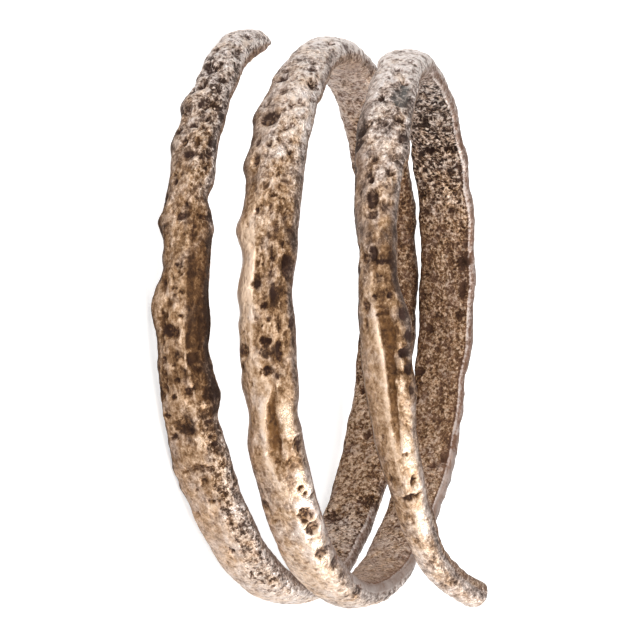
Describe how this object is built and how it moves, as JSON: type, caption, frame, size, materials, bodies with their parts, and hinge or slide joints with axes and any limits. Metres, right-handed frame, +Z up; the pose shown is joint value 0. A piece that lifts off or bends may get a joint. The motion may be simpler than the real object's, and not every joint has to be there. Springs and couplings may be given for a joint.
{
  "type": "coil ring",
  "caption": "Cast bronze finger ring: a pitted, ridged bar coiled open round the finger, with a bevelled start and a flared free end.",
  "frame": {"origin": "centre of the bounding box, on the surface that the ring lies on", "axes": "+Z up from the surface, about 6 degrees off the coil's own axis, with the flared end on top; -Y is the side that faces the viewer in the picture and -X is the picture's top"},
  "size_m": [0.0198, 0.0196, 0.0088],
  "materials": {
    "cast_bronze": "cast, pitted, darkened in the pits and worn bright on the ridges"
  },
  "bodies": {
    "root": {"coil_band": "cast_bronze"}
  },
  "joints": []
}
